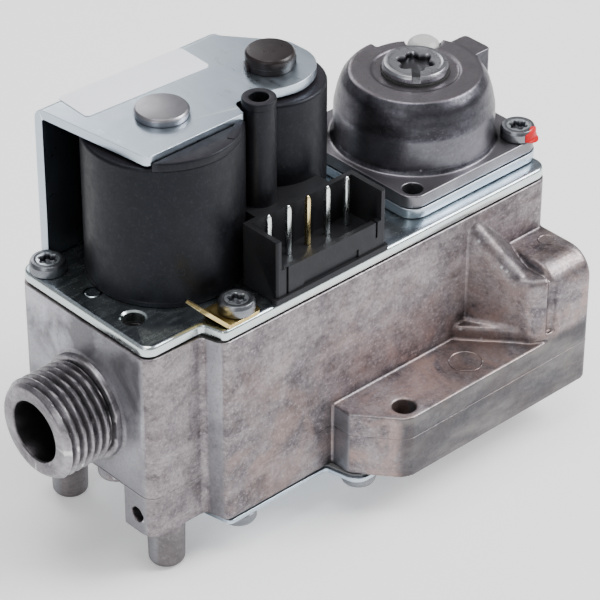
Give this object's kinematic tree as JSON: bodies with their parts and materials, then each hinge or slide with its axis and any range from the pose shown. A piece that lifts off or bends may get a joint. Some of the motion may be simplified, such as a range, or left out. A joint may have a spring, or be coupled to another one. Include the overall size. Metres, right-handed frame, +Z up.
{
  "type": "solenoid gas valve",
  "caption": "Boiler gas valve: die cast body, threaded inlet, solenoids in a moulded block under a steel yoke, electrical socket, and a domed pressure regulator.",
  "frame": {"origin": "middle of the bounding box in plan, at the height of the lowest point, the ends of the pressure taps", "axes": "+X from the threaded inlet towards the outlet, +Y from the socket side to the yoke's back leg, +Z up through the solenoids and the regulator"},
  "size_m": [0.1175, 0.0582, 0.0917],
  "materials": {
    "casting": "die cast, fine grain, satin",
    "zinc_steel": "zinc plated sheet steel",
    "screw_steel": "zinc plated screw",
    "core_steel": "turned magnetic steel",
    "spring_steel": "bright wire and sheet",
    "coil_plastic": "black moulding, fine grain",
    "bobbin_plastic": "moulded",
    "cap_plastic": "dark brown black push-on cap",
    "copper": "enamelled copper wire",
    "rubber": "black rubber",
    "brass": "yellow",
    "pin_metal": "tinned",
    "cover_metal": "turned and milled",
    "vent_plastic": "pale translucent",
    "label": "blank sticker"
  },
  "bodies": {
    "valve": {"valve_body": "casting", "regulator_housing": "casting", "base_plate": "zinc_steel", "magnet_yoke": "zinc_steel", "bottom_cover": "zinc_steel", "plate_rivet": "zinc_steel", "regulator_base_plate": "zinc_steel", "plate_screw_rear_left": "screw_steel", "plate_screw_rear_right": "screw_steel", "earth_screw": "screw_steel", "regulator_screw_front_right": "screw_steel", "regulator_screw_rear_right": "screw_steel", "regulator_screw_rear_left": "screw_steel", "cover_screw_1": "screw_steel", "cover_screw_2": "screw_steel", "cover_screw_3": "screw_steel", "cover_screw_4": "screw_steel", "cover_screw_5": "screw_steel", "cover_screw_6": "screw_steel", "coil_fixing_screw": "screw_steel", "passage_plug": "screw_steel", "fixed_core_1": "core_steel", "fixed_core_2": "core_steel", "guide_tube_1": "core_steel", "guide_tube_2": "core_steel", "inlet_strainer": "spring_steel", "coil_block": "coil_plastic", "bobbin_1": "bobbin_plastic", "bobbin_2": "bobbin_plastic", "retaining_cap": "cap_plastic", "winding_1": "copper", "winding_2": "copper", "base_gasket": "rubber", "bottom_gasket": "rubber", "earth_tab": "brass", "contact_pin_3": "brass", "contact_pin_1": "pin_metal", "contact_pin_2": "pin_metal", "contact_pin_4": "pin_metal", "contact_pin_5": "pin_metal", "vent_plug": "vent_plastic", "blank_label": "label"},
    "lift_plunger_1": {"plunger_1": "core_steel", "valve_disc_1": "rubber", "return_spring_1": "spring_steel"},
    "lift_plunger_2": {"plunger_2": "core_steel", "valve_disc_2": "rubber", "return_spring_2": "spring_steel"},
    "servo_stem": {"regulator_stem": "core_steel", "regulator_valve_disc": "rubber", "diaphragm": "rubber"},
    "spring_carrier": {"spring_seat": "core_steel", "regulator_spring": "spring_steel"},
    "adjuster": {"adjusting_screw": "brass"},
    "cover_ring": {"cover_seal": "rubber"},
    "cover_cap": {"regulator_cover_screw": "cover_metal"},
    "rear_tap_screw": {"tap_screw_rear": "brass"},
    "front_tap_screw": {"tap_screw_front": "brass"}
  },
  "joints": [
    {"name": "plunger_1_lift", "type": "slide", "parent": "valve", "child": "lift_plunger_1", "axis": [0, 0, 1], "range_m": [0, 0.0022], "stiffness_N_per_m": 400, "springref_m": -0.004, "deforming": ["return_spring_1"]},
    {"name": "plunger_2_lift", "type": "slide", "parent": "valve", "child": "lift_plunger_2", "axis": [0, 0, 1], "range_m": [0, 0.0018], "stiffness_N_per_m": 400, "springref_m": -0.004, "deforming": ["return_spring_2"]},
    {"name": "servo_lift", "type": "slide", "parent": "valve", "child": "servo_stem", "axis": [0, 0, 1], "range_m": [0, 0.0011], "stiffness_N_per_m": 400, "springref_m": -0.002, "deforming": ["diaphragm"]},
    {"name": "spring_carrier_travel", "type": "slide", "parent": "valve", "child": "spring_carrier", "axis": [0, 0, 1], "range_m": [-0.002, 0.001], "deforming": ["regulator_spring"]},
    {"name": "adjuster_turn", "type": "hinge", "parent": "spring_carrier", "child": "adjuster", "pos_m": [0.04025, 0.00677, 0.0676], "axis": [0, 0, 1], "range_deg": [-721, 361]},
    {"name": "cover_travel", "type": "slide", "parent": "valve", "child": "cover_ring", "axis": [0, 0, 1], "range_m": [0, 0.005]},
    {"name": "cover_turn", "type": "hinge", "parent": "cover_ring", "child": "cover_cap", "pos_m": [0.04025, 0.00677, 0.0749], "axis": [0, 0, 1], "range_deg": [-1, 1801]},
    {"name": "rear_tap_turn", "type": "hinge", "parent": "valve", "child": "rear_tap_screw", "pos_m": [-0.03885, 0.02378, 0.0049], "axis": [0, 0, -1], "range_deg": [0, 720]},
    {"name": "front_tap_turn", "type": "hinge", "parent": "valve", "child": "front_tap_screw", "pos_m": [-0.03885, -0.00632, 0.0049], "axis": [0, 0, -1], "range_deg": [0, 720]}
  ],
  "couplings": [
    {"joint": "adjuster_turn", "follows": "spring_carrier_travel", "rad_per_m": 6283.2},
    {"joint": "cover_turn", "follows": "cover_travel", "rad_per_m": 6283.2}
  ]
}
